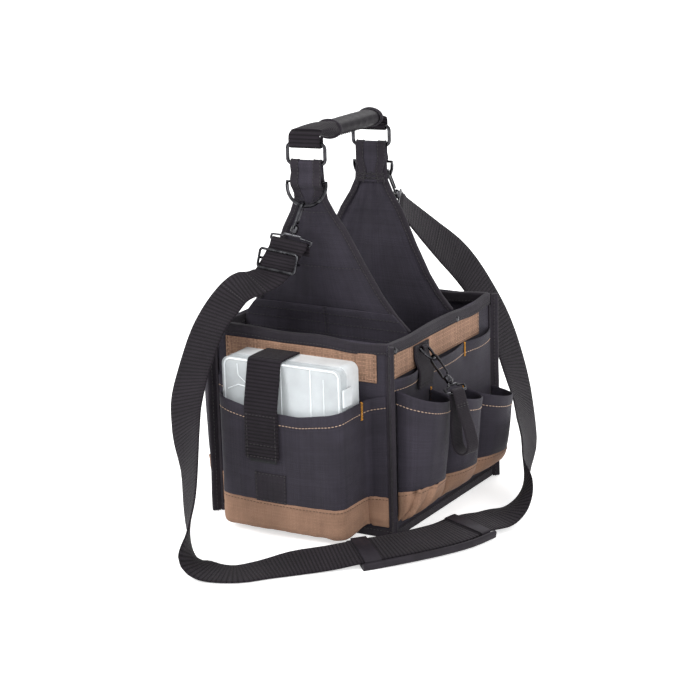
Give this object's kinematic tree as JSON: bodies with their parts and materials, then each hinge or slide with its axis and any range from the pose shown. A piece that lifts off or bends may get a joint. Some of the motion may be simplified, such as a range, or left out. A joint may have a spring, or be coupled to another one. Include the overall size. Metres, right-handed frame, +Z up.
{
  "type": "tool carrier",
  "caption": "Open-top fabric tool carrier with outside pockets, a ring-hung padded handle, a clip-on shoulder strap and a clear parts box.",
  "frame": {"origin": "centre of the box's underside, on the surface it stands on", "axes": "+X to the right along the front face, -Y out of the front face, +Z up"},
  "size_m": [0.3739, 0.5243, 0.4506],
  "materials": {
    "black_polyester": "coarse matt weave",
    "black_binding": "ribbed webbing and tape",
    "tan_weave": "coarse ballistic weave",
    "wrapped_grip": "soft sheen",
    "clear_plastic": "cloudy clear",
    "gunmetal_wire": "dark plated",
    "moulded_pad": "satin moulded"
  },
  "bodies": {
    "root": {"back_pocket": "black_polyester", "back_pocket_skirt": "tan_weave", "back_wall": "black_polyester", "base_band": "black_binding", "base_panel": "black_polyester", "box_strap_pad": "black_polyester", "contrast_back": "tan_weave", "contrast_front": "tan_weave", "contrast_left": "tan_weave", "contrast_right": "tan_weave", "far_hook_eye": "gunmetal_wire", "far_yoke": "black_polyester", "far_yoke_binding": "black_binding", "front_pocket": "black_polyester", "front_pocket_skirt": "tan_weave", "front_wall": "black_polyester", "left_pocket_front": "black_polyester", "left_pocket_middle": "black_polyester", "left_pocket_rear": "black_polyester", "left_pocket_skirt": "tan_weave", "left_tool_sleeves": "black_polyester", "left_wall": "black_polyester", "near_hook_eye": "gunmetal_wire", "near_yoke": "black_polyester", "near_yoke_binding": "black_binding", "near_yoke_pocket": "black_polyester", "parts_box_latch": "clear_plastic", "parts_box_lid": "clear_plastic", "parts_box_tray": "clear_plastic", "right_pocket_front": "black_polyester", "right_pocket_middle": "black_polyester", "right_pocket_rear": "black_polyester", "right_pocket_skirt": "tan_weave", "right_tool_sleeves": "black_polyester", "right_wall": "black_polyester", "rim_binding": "black_binding", "shoulder_pad": "moulded_pad", "shoulder_strap": "black_binding", "slide_buckle": "gunmetal_wire", "tape_tab": "black_binding", "welt_back_left": "black_binding", "welt_back_right": "black_binding", "welt_front_left": "black_binding", "welt_front_right": "black_binding"},
    "near_ring": {"near_rectangle_ring": "gunmetal_wire"},
    "handle": {"handle_strap": "black_binding", "handle_grip": "wrapped_grip"},
    "far_ring": {"far_rectangle_ring": "gunmetal_wire"},
    "near_d_ring": {"near_d_ring": "gunmetal_wire"},
    "far_d_ring": {"far_d_ring": "gunmetal_wire"},
    "near_hook": {"near_snap_hook": "gunmetal_wire"},
    "near_gate": {"near_hook_gate": "gunmetal_wire"},
    "far_hook": {"far_snap_hook": "gunmetal_wire"},
    "far_gate": {"far_hook_gate": "gunmetal_wire"},
    "box_flap": {"box_strap": "black_binding"},
    "tape_hook": {"tape_ring": "gunmetal_wire", "tape_snap_hook": "gunmetal_wire", "tape_hook_eye": "gunmetal_wire"},
    "tape_gate": {"tape_hook_gate": "gunmetal_wire"},
    "tape_loop": {"tape_loop": "black_binding"}
  },
  "joints": [
    {"name": "near_ring_tilt", "type": "hinge", "parent": "root", "child": "near_ring", "pos_m": [0, -0.094, 0.408], "axis": [0.9801, 0.1987, 0], "range_deg": [-12, 12]},
    {"name": "handle_level", "type": "hinge", "parent": "near_ring", "child": "handle", "pos_m": [0, -0.094, 0.43], "axis": [0.9801, 0.1987, 0], "range_deg": [-12, 12]},
    {"name": "far_ring_tilt", "type": "hinge", "parent": "root", "child": "far_ring", "pos_m": [0, 0.05, 0.403], "axis": [0.9801, 0.1987, 0], "range_deg": [-12, 12]},
    {"name": "near_d_ring_swing", "type": "hinge", "parent": "root", "child": "near_d_ring", "pos_m": [0.00027, -0.09532, 0.388], "axis": [0.9801, 0.1987, 0], "range_deg": [-2, 3]},
    {"name": "far_d_ring_swing", "type": "hinge", "parent": "root", "child": "far_d_ring", "pos_m": [-0.00082, 0.05403, 0.383], "axis": [0.9801, 0.1987, 0], "range_deg": [-1, 3]},
    {"name": "near_hook_swivel", "type": "hinge", "parent": "root", "child": "near_hook", "pos_m": [-0.01201, -0.10172, 0.33815], "axis": [0.3609, 0.0201, 0.9324], "range_deg": [-20, 20]},
    {"name": "near_gate_open", "type": "hinge", "parent": "near_hook", "child": "near_gate", "pos_m": [-0.01152, -0.09812, 0.341], "axis": [0.9194, 0.1599, -0.3593], "range_deg": [0, 18], "stiffness_Nm_per_rad": 0.02, "springref_deg": -11.46},
    {"name": "far_hook_swivel", "type": "hinge", "parent": "root", "child": "far_hook", "pos_m": [0.01866, 0.07185, 0.34513], "axis": [-0.08, -0.4498, 0.8896], "range_deg": [-10, 10]},
    {"name": "far_gate_open", "type": "hinge", "parent": "far_hook", "child": "far_gate", "pos_m": [0.01682, 0.07347, 0.34906], "axis": [0.8916, 0.3667, 0.2656], "range_deg": [0, 18], "stiffness_Nm_per_rad": 0.02, "springref_deg": -11.46},
    {"name": "box_strap_lift", "type": "hinge", "parent": "root", "child": "box_flap", "pos_m": [-0.02, -0.1234, 0.2011], "axis": [-1, 0, 0], "range_deg": [0, 85]},
    {"name": "tape_hook_swing", "type": "hinge", "parent": "root", "child": "tape_hook", "pos_m": [0.1194, -0.0545, 0.20364], "axis": [0, -1, 0], "range_deg": [0, 60]},
    {"name": "tape_loop_swing", "type": "hinge", "parent": "tape_hook", "child": "tape_loop", "pos_m": [0.16513, -0.06485, 0.16209], "axis": [-0.2955, -0.9553, 0], "range_deg": [-60, 0]},
    {"name": "tape_gate_open", "type": "hinge", "parent": "tape_hook", "child": "tape_gate", "pos_m": [0.1511, -0.06051, 0.17978], "axis": [-0.2955, -0.9553, 0], "range_deg": [0, 18], "stiffness_Nm_per_rad": 0.02, "springref_deg": -11.46}
  ],
  "couplings": [
    {"joint": "handle_level", "follows": "near_ring_tilt", "ratio": -1},
    {"joint": "far_ring_tilt", "follows": "near_ring_tilt", "ratio": 1},
    {"joint": "tape_loop_swing", "follows": "tape_hook_swing", "ratio": -1}
  ]
}
